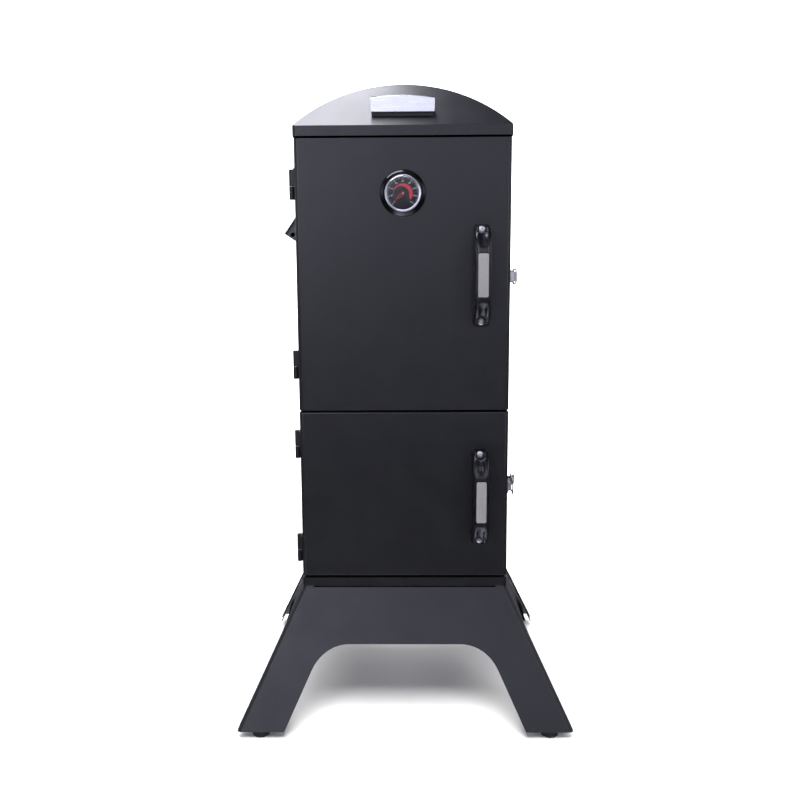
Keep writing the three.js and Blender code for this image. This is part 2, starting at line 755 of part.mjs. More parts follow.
function latchBail(z) {
  const [px, py] = LATCH.pivot;
  const [bx, by] = LATCH.bail;
  const [hx, hy] = LATCH.hook;
  const length = Math.hypot(hx - bx, hy - by);
  const rest = rad(-LATCH.rest);
  const cx = px + (bx - px) * Math.cos(rest) - (by - py) * Math.sin(rest);
  const cy = py + (bx - px) * Math.sin(rest) + (by - py) * Math.cos(rest);
  const closed = THREE.MathUtils.radToDeg(Math.atan2(hy - by, hx - bx));
  const lift = LATCH.follow * LATCH.rest;
  const w = LATCH.wire;
  const arm = (zz) => rodX(w, -w, length + w, 0, zz, 8);
  const loop = union(
    arm(z + LATCH.armZ), arm(z - LATCH.armZ),
    rodZ(w, z - LATCH.armZ - w, z + LATCH.armZ + w, 0, 0, 8),
    rodZ(w, z - LATCH.armZ - w, z + LATCH.armZ + w, length, 0, 8),
  );
  return loop.rotate([0, 0, closed + lift]).translate([cx, cy, 0]);
}

for (const name of ['upper', 'lower']) {
  const z = LATCH_HEIGHTS[name];
  add(`${name}_latch_base`, latchBase(z), DARK);
  add(`${name}_latch_lever`, latchLever(z), STEEL, 0.9, 0.3);
  add(`${name}_latch_bail`, latchBail(z), STEEL, 0.9, 0.3);
}

// ---- hopper vent on the left wall ----
function ventFrame() {
  const outer = -HALF_WIDTH - GAP;
  const frame = cut(block(outer - 2, outer, -58, 58, 983, 1071), VENT_HOLE);
  const ear = (y0) => block(VENT.axisX - 4, outer - 1, y0, y0 + 2, VENT.hinge - 4, VENT.hinge + 4);
  const bore = rodY(1.9, -80, 80, VENT.axisX, VENT.hinge, 12);
  return cut(union(frame, ear(-56), ear(54)), bore);
}

function ventFlap() {
  const half = VENT.halfWidth;
  const plate = block(-2, 0, -half, half, -VENT.length, 2);
  const low = -VENT.length;
  const lip = block(-1, 20, -43, 43, low, low + 2);
  const side = polygon([[-1, -4], [-1, low], [20, low], [23, low + 10], [14, -24]]);
  const cheek = (y0) => cut(sweepY(side, y0, y0 + 2), rodY(5, -60, 60, 12.5, low + 8.5, 14));
  const pins = rodY(1.6, -55.7, 55.7, 0, 0, 10);
  const body = union(plate, pins, cheek(-44), cheek(42), lip);
  return body.rotate([0, VENT.open, 0]).translate([VENT.axisX, 0, VENT.hinge]);
}

add('vent_frame', ventFrame(), DARK);
add('vent_flap', ventFlap(), 0x5a5b60, 0.5, 0.5);

// ---- control box on the rear ----
const BOX = { x0: -70, x1: 70, y0: BACK + GAP, y1: 228, z0: 330, z1: 430 };
const KNOB = { x: -32, z: 385 };
const INLET = { x: 34, z: 372 };

add('control_box', cut(
  block(BOX.x0, BOX.x1, BOX.y0, BOX.y1, BOX.z0, BOX.z1),
  block(BOX.x0 + 1.5, BOX.x1 - 1.5, BOX.y0 - 5, BOX.y1 - 1.5, BOX.z0 + 1.5, BOX.z1 - 1.5),
  rodY(4, 200, 240, KNOB.x, KNOB.z, 14),
  block(INLET.x - 14, INLET.x + 14, 215, 240, INLET.z - 10.5, INLET.z + 10.5),
), BLACK);

function powerInlet() {
  const { x, z } = INLET;
  const flange = block(x - 25, x + 25, BOX.y1 + GAP, BOX.y1 + 3, z - 12, z + 12);
  const barrel = block(x - 13.6, x + 13.6, BOX.y1 - 18, BOX.y1 + 2, z - 10.1, z + 10.1);
  const well = polygon([
    [x - 11.5, z - 7.5], [x + 11.5, z - 7.5], [x + 11.5, z + 3], [x + 7.5, z + 7.5],
    [x - 7.5, z + 7.5], [x - 11.5, z + 3],
  ]);
  const pin = (dx, dz) => block(x + dx - 1, x + dx + 1, BOX.y1 - 16, BOX.y1 + 1, z + dz - 2, z + dz + 2);
  return union(
    cut(union(flange, barrel), sweepY(well, BOX.y1 - 15, BOX.y1 + 10)),
    pin(-7, -1.5), pin(7, -1.5), pin(0, 2.5),
  );
}

add('power_inlet', powerInlet(), RUBBER, 0, 0.5);
add('thermostat_knob', union(
  turned([[0, 228.5], [19, 228.5], [18, 236], [14, 237], [13, 246], [0, 246]], KNOB.x, KNOB.z, 18),
  rodY(3.4, 214, 229, KNOB.x, KNOB.z, 12),
  block(KNOB.x - 1.4, KNOB.x + 1.4, 236, 247.5, KNOB.z - 16.5, KNOB.z + 16.5),
), RUBBER, 0, 0.5);

group.position.z = -FOOT_BOTTOM;

export default group;
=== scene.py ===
import json
import math

import bmesh
import bpy
from mathutils import Matrix, Vector

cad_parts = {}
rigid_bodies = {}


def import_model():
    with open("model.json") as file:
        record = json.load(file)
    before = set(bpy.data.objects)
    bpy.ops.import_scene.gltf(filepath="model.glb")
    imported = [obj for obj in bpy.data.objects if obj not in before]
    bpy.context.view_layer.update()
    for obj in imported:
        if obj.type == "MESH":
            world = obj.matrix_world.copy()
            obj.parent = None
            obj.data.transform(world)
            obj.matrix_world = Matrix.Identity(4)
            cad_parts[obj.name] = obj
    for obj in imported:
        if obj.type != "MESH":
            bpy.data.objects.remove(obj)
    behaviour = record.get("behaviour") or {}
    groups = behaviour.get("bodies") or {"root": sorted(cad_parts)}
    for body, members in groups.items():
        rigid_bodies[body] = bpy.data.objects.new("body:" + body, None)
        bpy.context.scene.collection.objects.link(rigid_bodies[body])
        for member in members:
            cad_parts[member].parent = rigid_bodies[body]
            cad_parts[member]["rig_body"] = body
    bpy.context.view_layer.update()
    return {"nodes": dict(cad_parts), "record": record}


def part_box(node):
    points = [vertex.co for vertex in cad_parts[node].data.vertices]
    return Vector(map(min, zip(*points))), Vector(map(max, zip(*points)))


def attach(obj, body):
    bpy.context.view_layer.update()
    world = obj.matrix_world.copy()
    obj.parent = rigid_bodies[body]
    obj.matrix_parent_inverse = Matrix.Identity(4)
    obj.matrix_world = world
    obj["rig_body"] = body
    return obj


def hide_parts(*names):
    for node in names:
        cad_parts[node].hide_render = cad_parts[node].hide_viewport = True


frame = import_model()

# Sizes are in mm. Heights are those of the frame, 5.5 mm below the ones in the part's source.
MM = 0.001
FRONT = -193.0  # front face of the doors
FIT = 0.3  # gap between pieces that sit against each other
GAUGE_Z = 1070.0
HANDLE_X = 152.0
HANDLE_END = 98.4  # half the length of a handle
HANDLE_HALF_WIDTH = 16.5
SCREW_REACH = 87.5  # handle screws, from the middle of the handle
SCREW_SEAT = 9.1  # depth of the handle screws in front of the door
INLAY_SEAT = 49.35  # back of the handle inlay in front of the door
HANDLES = {"upper": 912.7, "lower": 471.5}
HINGES = {"upper": [738.0, 1092.0], "lower": [356.0, 574.8]}
HINGE_AXIS = (-218.0, -165.0)
LATCHES = {"upper": 912.5, "lower": 487.5}
RACKS = [709.5, 799.5, 889.5, 979.5]


# ---------------------------------------------------------------- materials
class Shader:
    """One Principled material with a few helpers for its nodes."""

    def __init__(self, name, color, rough, metal=0.0, specular=0.5):
        self.mat = bpy.data.materials.new(name)
        self.mat.use_nodes = True
        self.tree = self.mat.node_tree
        self.bsdf = self.tree.nodes["Principled BSDF"]
        self.set("Base Color", (*color, 1.0))
        self.set("Roughness", rough)
        self.set("Metallic", metal)
        self.set("Specular IOR Level", specular)
        self.coord = self.tree.nodes.new("ShaderNodeTexCoord").outputs["Object"]

    def set(self, socket, value):
        self.bsdf.inputs[socket].default_value = value

    def link(self, output, target):
        self.tree.links.new(output, target)

    def mapped(self, scale):
        node = self.tree.nodes.new("ShaderNodeMapping")
        node.inputs["Scale"].default_value = scale
        self.link(self.coord, node.inputs["Vector"])
        return node.outputs["Vector"]

    def noise(self, scale, detail=2.0, rough=0.5, stretch=None):
        node = self.tree.nodes.new("ShaderNodeTexNoise")
        node.inputs["Scale"].default_value = scale
        node.inputs["Detail"].default_value = detail
        node.inputs["Roughness"].default_value = rough
        self.link(self.mapped(stretch) if stretch else self.coord, node.inputs["Vector"])
        return node.outputs["Fac"]

    def cells(self, scale, output="Distance"):
        node = self.tree.nodes.new("ShaderNodeTexVoronoi")
        node.feature = "F1"
        node.inputs["Scale"].default_value = scale
        self.link(self.coord, node.inputs["Vector"])
        return node.outputs[output]

    def wave(self, scale, direction="X", distortion=0.0, stretch=None):
        node = self.tree.nodes.new("ShaderNodeTexWave")
        node.bands_direction = direction
        node.inputs["Scale"].default_value = scale
        node.inputs["Distortion"].default_value = distortion
        self.link(self.mapped(stretch) if stretch else self.coord, node.inputs["Vector"])
        return node.outputs["Fac"]

    def span(self, value, low, high, source=(0.3, 0.7)):
        node = self.tree.nodes.new("ShaderNodeMapRange")
        node.inputs["From Min"].default_value = source[0]
        node.inputs["From Max"].default_value = source[1]
        node.inputs["To Min"].default_value = low
        node.inputs["To Max"].default_value = high
        self.link(value, node.inputs["Value"])
        return node.outputs["Result"]

    def ramp(self, value, stops):
        node = self.tree.nodes.new("ShaderNodeValToRGB")
        ramp = node.color_ramp
        while len(ramp.elements) < len(stops):
            ramp.elements.new(0.5)
        for element, (place, color) in zip(ramp.elements, stops):
            element.position = place
            element.color = (*color, 1.0)
        self.link(value, node.inputs["Fac"])
        return node.outputs["Color"]

    def maths(self, kind, a, b):
        node = self.tree.nodes.new("ShaderNodeMath")
        node.operation = kind
        for socket, item in zip(node.inputs, (a, b)):
            if isinstance(item, (int, float)):
                socket.default_value = item
            else:
                self.link(item, socket)
        return node.outputs["Value"]

    def bumps(self, *layers):
        """Each layer is (height, strength, distance in metres)."""
        normal = None
        for height, strength, distance in layers:
            node = self.tree.nodes.new("ShaderNodeBump")
            node.inputs["Strength"].default_value = strength
            node.inputs["Distance"].default_value = distance
            self.link(height, node.inputs["Height"])
            if normal is not None:
                self.link(normal, node.inputs["Normal"])
            normal = node.outputs["Normal"]
        self.link(normal, self.bsdf.inputs["Normal"])

    def color(self, output):
        self.link(output, self.bsdf.inputs["Base Color"])

    def roughness(self, output):
        self.link(output, self.bsdf.inputs["Roughness"])

    def painted_edge_highlight(self, base, lit_color, width, amount):
        """Painted highlight: lighter colour where the surface bends within the given width, broken
        up by noise.
        """
        bevel = self.tree.nodes.new("ShaderNodeBevel")
        bevel.samples = 4
        bevel.inputs["Radius"].default_value = width
        geometry = self.tree.nodes.new("ShaderNodeNewGeometry")
        dot = self.tree.nodes.new("ShaderNodeVectorMath")
        dot.operation = "DOT_PRODUCT"
        self.link(bevel.outputs["Normal"], dot.inputs[0])
        self.link(geometry.outputs["Normal"], dot.inputs[1])
        edge = self.span(dot.outputs["Value"], amount, 0.0, (0.80, 0.99))
        highlight_mask = self.maths("MULTIPLY", edge, self.span(self.noise(160, 4), 0.3, 1.0))
        mix = self.tree.nodes.new("ShaderNodeMix")
        mix.data_type = "RGBA"
        self.link(highlight_mask, mix.inputs["Factor"])
        self.link(base, mix.inputs[6])
        mix.inputs[7].default_value = (*lit_color, 1.0)
        return mix.outputs[2]


def coat(name, dark, light, rough=(0.29, 0.37)):
    """Powder coat: fine orange peel, faint cloudiness, and folds made slightly lighter as a painted
    highlight.
    """
    s = Shader(name, dark, 0.4, 0.0, 0.5)
    cloud = s.ramp(s.noise(5, 4), [(0.3, dark), (0.7, light)])
    # Painted highlight: the bends of the coat are lighter in colour.
    s.color(s.painted_edge_highlight(cloud, [c * 2.6 + 0.01 for c in light], 0.0012, 0.5))
    s.roughness(s.span(s.noise(22, 5, 0.6), *rough))
    s.bumps((s.noise(420, 2), 0.22, 0.00012), (s.noise(1700, 2), 0.35, 0.00006))
    return s.mat


def metal(name, color, rough, brush=None, mottle=0.06):
    """Bare metal; brush stretches the grain along the axis with the smallest scale."""
    s = Shader(name, color, rough, 1.0)
    light = [min(1.0, c * (1 + mottle)) for c in color]
    dark = [c * (1 - mottle) for c in color]
    s.color(s.ramp(s.noise(40, 5, 0.65), [(0.3, dark), (0.7, light)]))
    grain = s.noise(1.0, 4, 0.7, brush) if brush else s.noise(300, 4, 0.6)
    s.roughness(s.span(grain, rough * 0.75, rough * 1.35))
    s.bumps((grain, 0.12 if brush else 0.05, 0.00008))
    return s.mat


def galvanised(name):
    s = Shader(name, (0.5, 0.51, 0.53), 0.35, 1.0)
    spangle = s.cells(95, "Color")
    shade = s.tree.nodes.new("ShaderNodeSeparateColor")
    s.link(spangle, shade.inputs["Color"])
    s.color(s.ramp(shade.outputs["Red"], [(0.0, (0.36, 0.37, 0.39)), (1.0, (0.62, 0.63, 0.65))]))
    s.roughness(s.span(shade.outputs["Green"], 0.26, 0.48, (0.0, 1.0)))
    s.bumps((s.noise(500, 3), 0.04, 0.00006))
    return s.mat


def moulded(name, color, rough, grain=900, strength=0.25):
    s = Shader(name, color, rough, 0.0, 0.5)
    light = [c * 1.5 + 0.004 for c in color]
    s.color(s.ramp(s.noise(60, 4), [(0.35, color), (0.75, light)]))
    s.roughness(s.span(s.noise(45, 4), rough * 0.85, rough * 1.15))
    s.bumps((s.cells(grain), strength, 0.00008), (s.noise(grain * 2), 0.2, 0.00005))
    return s.mat


def enamel(name):
    s = Shader(name, (0.012, 0.012, 0.016), 0.14, 0.0, 0.6)
    fleck = s.ramp(s.cells(420), [(0.0, (0.16, 0.17, 0.2)), (0.09, (0.012, 0.012, 0.016))])
    s.color(fleck)
    s.roughness(s.span(s.noise(30, 4), 0.1, 0.24))
    s.bumps((s.noise(160, 2), 0.15, 0.0002))
    return s.mat


def sheath(name):
    s = Shader(name, (0.12, 0.1, 0.09), 0.5, 0.8)
    tint = s.ramp(s.noise(26, 5, 0.6), [
        (0.3, (0.06, 0.055, 0.06)), (0.5, (0.17, 0.13, 0.1)), (0.7, (0.1, 0.1, 0.14)),
    ])
    s.color(tint)
    s.roughness(s.span(s.noise(90, 4), 0.38, 0.65))
    s.bumps((s.noise(700, 4), 0.3, 0.0001))
    return s.mat


def braid(name):
    s = Shader(name, (0.05, 0.047, 0.043), 0.9, 0.0, 0.2)
    one = s.wave(95, "DIAGONAL", 0.6)
    two = s.wave(95, "DIAGONAL", 0.6, (1, -1, -1))
    weave = s.maths("MULTIPLY", one, two)
    # Painted shade: the colour follows the weave's height, darker where it sinks between the
    # strands.
    s.color(s.ramp(weave, [(0.0, (0.018, 0.017, 0.016)), (0.7, (0.1, 0.094, 0.086))]))
    s.bumps((weave, 0.9, 0.0006), (s.noise(1800, 3), 0.5, 0.0001))
    return s.mat


def pebbled(name, color):
    """Cast or embossed metal plate with a fine pebble texture."""
    s = Shader(name, color, 0.5, 0.55)
    grain = s.cells(620)
    # Painted shade: the colour follows the pebbles' height, darker in the dimples.
    s.color(s.ramp(grain, [(0.0, [c * 0.72 for c in color]), (0.6, color)]))
    s.roughness(s.span(s.noise(200, 4), 0.42, 0.58))
    s.bumps((grain, 0.55, 0.00025))
    return s.mat


def lens(name):
    s = Shader(name, (1, 1, 1), 0.02, 0.0, 0.5)
    s.set("Transmission Weight", 1.0)
    s.set("IOR", 1.3)
    s.bumps((s.noise(40, 2), 0.02, 0.0001))
    return s.mat


def printed(name, color, rough=0.5, specular=0.5):
    s = Shader(name, color, rough, 0.0, specular)
    light = [min(1.0, c * 1.15 + 0.003) for c in color]
    s.color(s.ramp(s.noise(500, 3), [(0.3, color), (0.7, light)]))
    s.roughness(s.span(s.noise(300, 3), rough * 0.85, rough * 1.15))
    return s.mat


BLACK = coat("satin_black_coat", (0.0088, 0.009, 0.0112), (0.0115, 0.0118, 0.0142))
HARDWARE = coat("black_hardware_coat", (0.008, 0.008, 0.0085), (0.013, 0.013, 0.014), (0.35, 0.5))
# Blacker and rougher than the other blacks: the badge base's colour is partly its own dark underside
# and partly a painted shadow under the badge.
MATT_AND_SHADOW = moulded("matt_black_painted_shadow", (0.004, 0.004, 0.0045), 0.55, 900, 0.15)
GREY = coat("grey_sheet_coat", (0.075, 0.076, 0.088), (0.095, 0.096, 0.11), (0.4, 0.5))
PLATE = metal("satin_plate", (0.78, 0.78, 0.79), 0.3, (40, 900, 900), 0.03)
INLAY = pebbled("pebbled_inlay", (0.44, 0.425, 0.41))
CHROME = metal("chrome", (0.78, 0.78, 0.8), 0.09)
ZINC = metal("bright_zinc", (0.72, 0.72, 0.72), 0.42)
STEEL = metal("plain_steel", (0.55, 0.55, 0.56), 0.3, (14, 700, 700))
GALVANISED = galvanised("galvanised_sheet")
GRIP = moulded("grip_black", (0.006, 0.006, 0.007), 0.24, 1100, 0.08)
RUBBER = moulded("rubber_black", (0.012, 0.012, 0.0125), 0.75, 700, 0.4)
PLASTIC = moulded("moulded_black", (0.012, 0.012, 0.013), 0.45, 1000, 0.3)
ENAMEL = enamel("black_enamel")
ELEMENT = sheath("element_sheath")
ROPE = braid("gasket_braid")
GLOSS = moulded("gloss_black", (0.002, 0.002, 0.002), 0.16, 1400, 0.03)
DIAL = printed("dial_black", (0.008, 0.008, 0.012), 0.6, 0.15)
INK = printed("dial_ink", (0.6, 0.6, 0.6), 0.5)
RED = printed("dial_red", (0.62, 0.015, 0.03), 0.45)
GLASS = lens("gauge_glass")


# ---------------------------------------------------------------- mesh helpers
def place(mesh, name, body, material, slot=None, smooth_angle=40):
    for polygon in mesh.polygons:
        polygon.use_smooth = True
    mesh.set_sharp_from_angle(angle=math.radians(smooth_angle))
    mesh.materials.clear()
    mesh.materials.append(material)
    piece = bpy.data.objects.new(name, mesh)
    bpy.context.scene.collection.objects.link(piece)
    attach(piece, body)
    return piece


def finish_bmesh(bm, name, body, material, slot=None, smooth_angle=40):
    bmesh.ops.recalc_face_normals(bm, faces=bm.faces)
    mesh = bpy.data.meshes.new(name)
    bm.to_mesh(mesh)
    bm.free()
    return place(mesh, name, body, material, slot, smooth_angle)


def refine(node, material, radius=0.5, segments=2, limit=35, smooth_angle=40):
    """A finer copy of a CAD node: flat faces merged, sharp edges rounded."""
    source = frame["nodes"][node]
    bm = bmesh.new()
    bm.from_mesh(source.data)
    bmesh.ops.remove_doubles(bm, verts=bm.verts, dist=0.02 * MM)
    bmesh.ops.dissolve_limit(
        bm, angle_limit=math.radians(0.6), verts=bm.verts, edges=bm.edges,
    )
    bm.normal_update()
    sharp = [
        e for e in bm.edges
        if e.is_manifold and e.calc_face_angle(0.0) > math.radians(limit)
    ]
    if radius > 0 and sharp:
        bmesh.ops.bevel(
            bm, geom=sharp, offset=radius * MM, offset_type="OFFSET", segments=segments,
            profile=0.5, affect="EDGES", clamp_overlap=True,
        )
    mesh = bpy.data.meshes.new(node + "_fine")
    bm.to_mesh(mesh)
    bm.free()
    slot = next(
        s["material_slot"] for s in frame["record"]["subparts"] if s["node"] == node
    )
    piece = place(mesh, node + "_fine", source["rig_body"], material, slot, smooth_angle)
    weighted = piece.modifiers.new("normals", "WEIGHTED_NORMAL")
    weighted.keep_sharp = True
    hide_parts(node)
    return piece


def basis(axis):
    """Matrix that turns local +Z to the given axis."""
    return Vector(axis).to_track_quat("Z", "Y").to_matrix().to_4x4()


def lathe(name, profile, centre, axis, body, material, slot=None, sides=64, smooth_angle=35):
    """profile is (radius, height) in mm, from axis to axis or closed on itself."""
    bm = bmesh.new()
    rings = []
    for r, h in profile:
        if r < 1e-6:
            rings.append([bm.verts.new((0, 0, h * MM))])
            continue
        ring = []
        for i in range(sides):
            a = 2 * math.pi * i / sides
            ring.append(bm.verts.new((r * MM * math.cos(a), r * MM * math.sin(a), h * MM)))
        rings.append(ring)
    closed = profile[0][0] > 1e-6
    pairs = list(zip(rings, rings[1:]))
    if closed:
        pairs.append((rings[-1], rings[0]))
    for low, high in pairs:
        for i in range(sides):
            j = (i + 1) % sides
            quad = [low[i % len(low)], low[j % len(low)], high[j % len(high)], high[i % len(high)]]
            corners = list(dict.fromkeys(quad))
            if len(corners) > 2:
                bm.faces.new(corners)
    bm.transform(Matrix.Translation(Vector(centre) * MM) @ basis(axis))
    return finish_bmesh(bm, name, body, material, slot, smooth_angle)


def tube_into(bm, path, radius, sides=16, closed=False, flat=1.0, up=(0, 0, 1)):
    """Adds a tube along a path in mm; flat squeezes it across the up direction."""
    points = [Vector(p) for p in path]
    count = len(points)
    rings = []
    for i, p in enumerate(points):
        before = points[i - 1] if i > 0 or closed else p
        after = points[(i + 1) % count] if i < count - 1 or closed else p
        along = (after - before).normalized()
        side = along.cross(Vector(up))
        if side.length < 1e-4:
            side = along.cross(Vector((1, 0, 0)))
        side.normalize()
        top = side.cross(along).normalized()
        ring = []
        for k in range(sides):
            a = 2 * math.pi * k / sides
            offset = side * math.cos(a) * radius + top * math.sin(a) * radius * flat
            ring.append(bm.verts.new((p + offset) * MM))
        rings.append(ring)
    pairs = list(zip(rings, rings[1:]))
    if closed:
        pairs.append((rings[-1], rings[0]))
    for a, b in pairs:
        for k in range(sides):
            j = (k + 1) % sides
            bm.faces.new((a[k], a[j], b[j], b[k]))
    if not closed:
        bm.faces.new(rings[0])
        bm.faces.new(rings[-1])


def rounded_loop(x0, x1, y0, y1, z, radius, steps=6):
    """Closed path in the XY plane with rounded corners."""
    path = []
    corners = [(x1 - radius, y0 + radius, -90), (x1 - radius, y1 - radius, 0),
               (x0 + radius, y1 - radius, 90), (x0 + radius, y0 + radius, 180)]
    for cx, cy, start in corners:
        for i in range(steps + 1):
            a = math.radians(start + 90 * i / steps)
            path.append((cx + radius * math.cos(a), cy + radius * math.sin(a), z))
    return path


def thicken(bm, depth):
    """Extrudes all faces by a depth in mm along Y."""
    out = bmesh.ops.extrude_face_region(bm, geom=list(bm.faces))
    moved = [v for v in out["geom"] if isinstance(v, bmesh.types.BMVert)]
    bmesh.ops.translate(bm, verts=moved, vec=(0, depth * MM, 0))


def smoothstep(edge0, edge1, value):
    t = min(1.0, max(0.0, (value - edge0) / (edge1 - edge0)))
    return t * t * (3 - 2 * t)


def through(points, value):
    """Straight-line interpolation of (position, value) pairs in order of position."""
    for (a, va), (b, vb) in zip(points, points[1:]):
        if value <= b:
            t = (value - a) / (b - a)
            return va + (vb - va) * t
    return points[-1][1]


def catmull(points, per=8):
    """Catmull-Rom curve through points of any dimension."""
    ext = [points[0], *points, points[-1]]
    result = []
    for i in range(1, len(ext) - 2):
        p0, p1, p2, p3 = (Vector(p) for p in ext[i - 1:i + 3])
        for k in range(per):
            t = k / per
            result.append(
                0.5 * ((2 * p1) + (p2 - p0) * t + (2 * p0 - 5 * p1 + 4 * p2 - p3) * t * t
                       + (3 * p1 - p0 - 3 * p2 + p3) * t ** 3)
            )
    result.append(Vector(points[-1]))
    return result


# ---------------------------------------------------------------- sheet metal
for skirt in ("front_skirt", "rear_skirt", "left_skirt", "right_skirt"):
    refine(skirt, BLACK, 0.6, 2)
for sheet in ("floor_pan", "left_wall", "right_wall", "back_wall", "control_box"):
    refine(sheet, BLACK, 0.6, 2)
refine("top_hood", BLACK, 1.4, 3)
for door in ("upper", "lower"):
    refine(f"{door}_door_pan", BLACK, 0.45, 2, 45, 50)
    refine(f"{door}_door_liner", GALVANISED, 0.4, 1)
    refine(f"{door}_keeper", ZINC, 0.35, 2)
    refine(f"{door}_latch_base", HARDWARE, 0.4, 2)
    refine(f"{door}_latch_lever", ZINC, 0.4, 2)
    refine(f"{door}_latch_bail", ZINC, 0.0, 1, 35, 60)
    for index in (1, 2):
        refine(f"{door}_door_leaf_{index}", HARDWARE, 0.4, 2)
        refine(f"{door}_body_leaf_{index}", HARDWARE, 0.4, 2)
refine("centre_rail", HARDWARE, 0.4, 2)
refine("ceiling_panel", HARDWARE, 0.4, 1)
# The badge base's very dark colour is partly a painted shadow under the badge.
refine("badge_base", MATT_AND_SHADOW, 1.0, 2)
refine("badge_plate", PLATE, 1.1, 3)
refine("vent_frame", HARDWARE, 0.4, 2)
refine("vent_flap", GREY, 0.4, 2)
refine("left_rack_rail", GALVANISED, 0.3, 1)
refine("right_rack_rail", GALVANISED, 0.3, 1)
refine("water_pan", ENAMEL, 0.5, 2)
refine("chip_tray", STEEL, 0.5, 2)
refine("grease_tray", STEEL, 0.5, 2)
refine("power_inlet", PLASTIC, 0.5, 2)
refine("thermostat_knob", PLASTIC, 0.7, 2)
refine("heating_element", ELEMENT, 0.4, 2, 65, 70)
for corner in ("front_left", "front_right", "rear_left", "rear_right"):
    refine(f"foot_{corner}", RUBBER, 0.8, 2, 40, 45)


# ---------------------------------------------------------------- racks
def wire_rack(index, z):
    half_x, front, back, wire, rod, count = 188.0, -138.0, 170.0, 3.0, 1.6, 19
    mid = z + FIT + wire
    bm = bmesh.new()
    loop = rounded_loop(-half_x + wire, half_x - wire, front + wire, back - wire, mid, 9)
    tube_into(bm, loop, wire, 12, True)
    inner = half_x - 2 * wire
    pitch = 2 * inner / (count + 1)
    for i in range(1, count + 1):
        x = i * pitch - inner
        tube_into(bm, [(x, front + wire, mid), (x, back - wire, mid)], rod, 10)
    piece = finish_bmesh(bm, f"rack_{index}_wires", "cabinet", CHROME, "bright_wire", 50)
    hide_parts(f"rack_{index}")


for number, height in enumerate(RACKS, 1):
    wire_rack(number, height)


# ---------------------------------------------------------------- door gasket
def rope_gasket(door):
    low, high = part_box(f"{door}_door_gasket")
    inset = 5.5
    x, z0, z1 = high.x / MM - inset, low.z / MM + inset, high.z / MM - inset
    y = (low.y + high.y) / 2 / MM
    path = [(px, y, pz) for px, pz, _ in rounded_loop(-x, x, z0, z1, 0, 12)]
    bm = bmesh.new()
    depth = (high.y - low.y) / 2 / MM
    half_width = 5.4
    tube_into(bm, path, depth, 14, True, half_width / depth, (0, 1, 0))
    for v in bm.verts:
        v.co.y = min(max(v.co.y, low.y), high.y)
    piece = finish_bmesh(bm, f"{door}_gasket_rope", f"{door}_door", ROPE, "gasket_rope", 60)
    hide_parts(f"{door}_door_gasket")


for door in ("upper", "lower"):
    rope_gasket(door)


# ---------------------------------------------------------------- handles
# Side outlines of a handle: distance from its middle, depth in front of the door.
OUTER = catmull([(0, 50.6), (20, 50.6), (36, 50.2), (52, 48.8), (66, 44.8), (77, 38),
                 (86, 28.5), (93, 18.5), (96.8, 10), (HANDLE_END, 5)], 10)
FOOT_START = 71  # where the handle meets the door
INNER = catmull([(0, 26.6), (24, 26.6), (38, 26.4), (52, 24), (62, 17.4), (68, 9),
                 (FOOT_START, 0)], 10)


def outer_depth(s):
    return through([(p[0], p[1]) for p in OUTER], s)


def inner_depth(s):
    return through([(p[0], p[1]) for p in INNER], s) if s < FOOT_START else 0.0


def carve(s, x, d, front):
    """Depth of a point of the handle after its screw pocket, inlay recess and scoop."""
    radial = math.hypot(x, s - SCREW_REACH)
    lateral = abs(x) if s > SCREW_REACH else radial
    wall = smoothstep(8.2, 9.8, lateral)
    pocket = 9.0
    if d > pocket:
        d = pocket + (d - pocket) * wall
    recess, recess_half_length, recess_half_width = 49.3, 41, 10
    if abs(s) < recess_half_length and abs(x) < recess_half_width and d > front - 1.0:
        d = min(d, recess)
    scoop = smoothstep(50, 64, s) * (1 - smoothstep(76, 84, s)) * max(0.0, 1 - (x / 9.5) ** 2)
    return d - 4.5 * scoop * (d > front - 1.5)


def handle_section(s, half, steps):
    """Loop of (x, depth) around the handle at a distance s from its middle."""
    front, back = outer_depth(s), inner_depth(s)
    end = max(0.0, (s - 86.5) / 12.0)
    width = half * (math.sqrt(max(0.0, 1 - min(1.0, end) ** 2)) * 0.45 + 0.55)
    round_front = min(9.0, (front - back) * 0.48)
    round_back = min(3.0, (front - back) * 0.2) if back > 0.5 else 0.6
    loop = []

    def corner(cx, cd, radius, start):
        for i in range(steps + 1):
            a = math.radians(start - 90 * i / steps)
            loop.append((cx + radius * math.cos(a), cd + radius * math.sin(a)))

    corner(-width + round_front, front - round_front, round_front, 180)
    span, parts = width - round_front, 18
    for i in range(1, parts):
        loop.append((-span + 2 * span * i / parts, front))
    corner(width - round_front, front - round_front, round_front, 90)
    corner(width - round_back, back + round_back, round_back, 0)
    corner(-width + round_back, back + round_back, round_back, -90)
    return [(x, carve(s, x, d, front)) for x, d in loop]


def handle(door):
    centre = HANDLES[door]
    bm = bmesh.new()
    stations = []
    s = 0.0
    while s < HANDLE_END:
        stations.append(s)
        s += 0.7 if s > 66 else 1.5
    stations.append(HANDLE_END)
    signed = [-v for v in reversed(stations[1:])] + stations
    rings = []
    for v in signed:
        ring = []
        for x, d in handle_section(abs(v), HANDLE_HALF_WIDTH, 5):
            ring.append(bm.verts.new(
                ((HANDLE_X + x) * MM, (FRONT - FIT - d) * MM, (centre + v) * MM)))
        rings.append(ring)
    count = len(rings[0])
    for a, b in zip(rings, rings[1:]):
        for k in range(count):
            j = (k + 1) % count
            bm.faces.new((a[k], a[j], b[j], b[k]))
    bm.faces.new(rings[0])
    bm.faces.new(rings[-1])
    piece = finish_bmesh(bm, f"{door}_handle_grip", f"{door}_door", GRIP, "black_grip", 50)
    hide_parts(f"{door}_handle")


